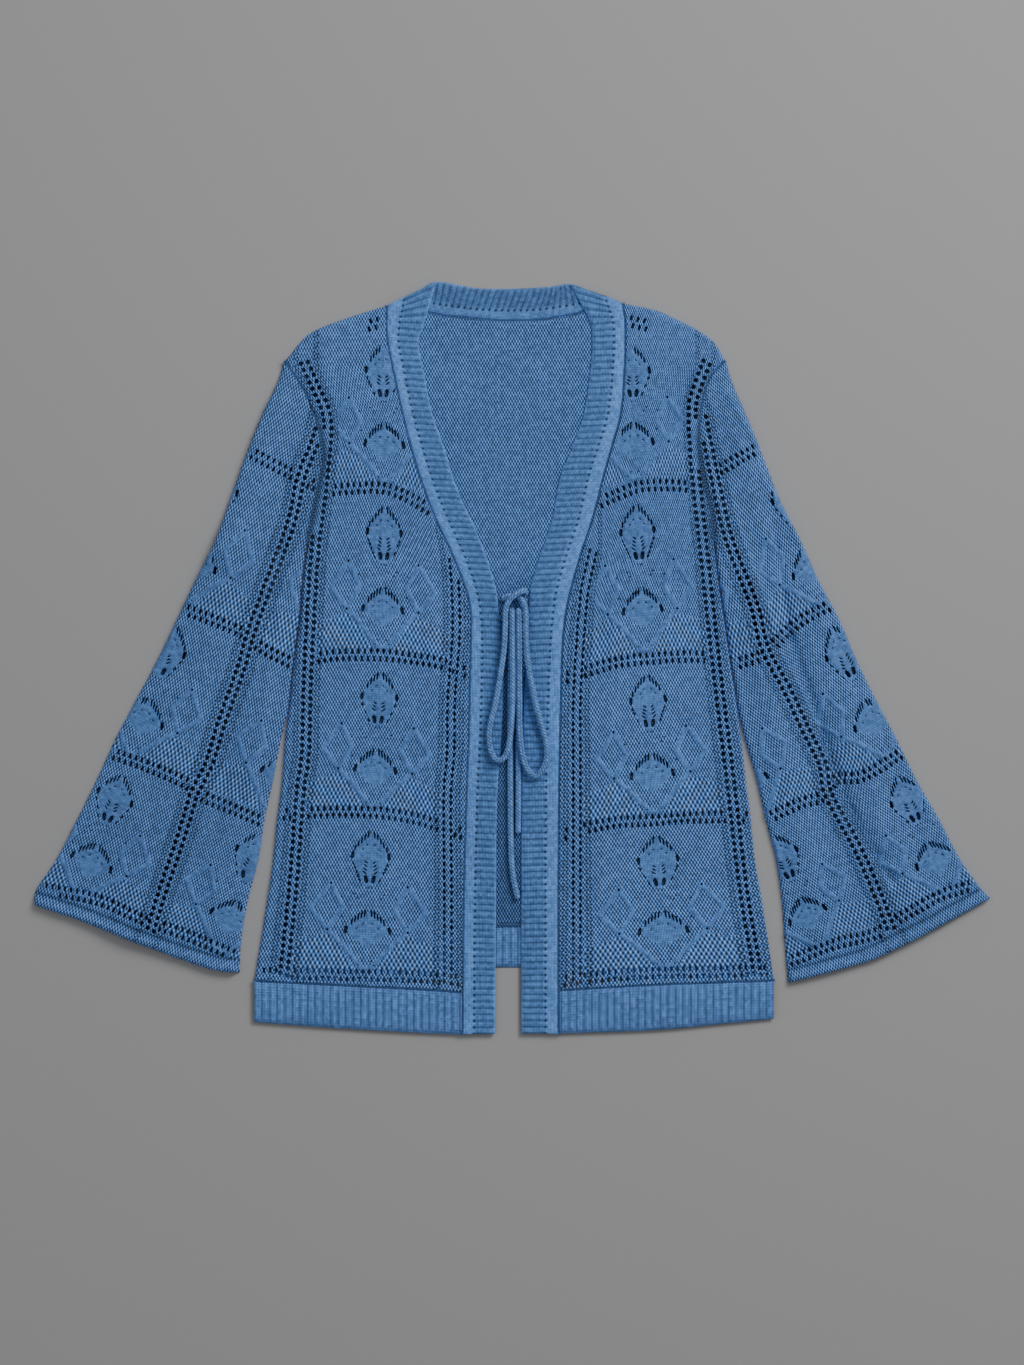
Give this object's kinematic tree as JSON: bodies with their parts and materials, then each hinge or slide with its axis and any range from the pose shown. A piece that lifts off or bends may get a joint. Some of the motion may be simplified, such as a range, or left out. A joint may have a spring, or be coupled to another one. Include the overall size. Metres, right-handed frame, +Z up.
{
  "type": "tie-front cardigan",
  "caption": "Open knitted cardigan laid flat, with lace fronts, ribbed bands and hem, wide lace sleeves with rolled cuffs and a cord bow.",
  "frame": {"origin": "middle of the outline that the garment without its ties covers on the table, on the table's surface", "axes": "+X towards the wearer's left sleeve, along the longest side; +Y from the hem towards the neck; +Z up from the table, out of the fronts"},
  "size_m": [0.8425, 0.663, 0.017],
  "materials": {
    "cotton_knit": "matte",
    "rib_knit": "matte",
    "tie_cord": "matte"
  },
  "bodies": {
    "root": {"back_panel": "cotton_knit", "back_hem": "cotton_knit", "back_neck_rib": "rib_knit", "front_right": "cotton_knit", "front_left": "cotton_knit", "front_hem_right": "cotton_knit", "front_hem_left": "cotton_knit", "front_band_right": "rib_knit", "front_band_left": "rib_knit", "sleeve_upper_right": "cotton_knit", "sleeve_lower_right": "cotton_knit", "sleeve_upper_left": "cotton_knit", "sleeve_lower_left": "cotton_knit", "tie_right": "tie_cord", "tie_left": "tie_cord"}
  },
  "joints": []
}
